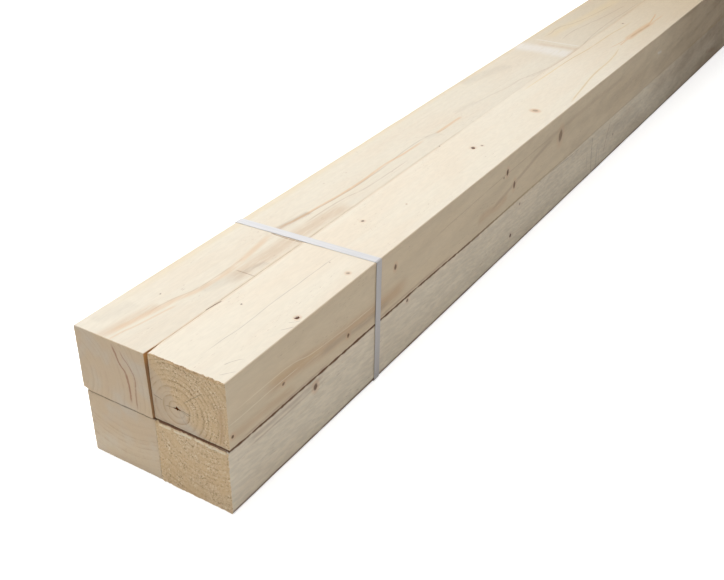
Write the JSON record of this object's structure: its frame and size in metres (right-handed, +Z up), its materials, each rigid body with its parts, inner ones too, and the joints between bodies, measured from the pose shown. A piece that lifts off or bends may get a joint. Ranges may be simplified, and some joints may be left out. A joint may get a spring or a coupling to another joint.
{
  "type": "bundle of pine studs",
  "caption": "Strapped bundle of long sawn pine studs for framing, stacked square and held by narrow welded plastic straps.",
  "frame": {"origin": "on the floor under the middle of the bundle's bounding box", "axes": "+X along the studs from the front end to the far end, +Z up; seen from the front end, +Y is the left"},
  "size_m": [3.0026, 0.1546, 0.1276],
  "materials": {
    "sawn_pine": "kiln-dried pine, fine-sawn and bare, pale cream with tan growth rings, small brown knots and rough saw-cut ends",
    "white_strap": "white embossed polypropylene strapping with a soft sheen"
  },
  "bodies": {
    "root": {"stud_upper_left": "sawn_pine", "stud_upper_right": "sawn_pine", "stud_lower_left": "sawn_pine", "stud_lower_right": "sawn_pine", "strap_near": "white_strap", "strap_middle": "white_strap", "strap_far": "white_strap"}
  },
  "joints": []
}
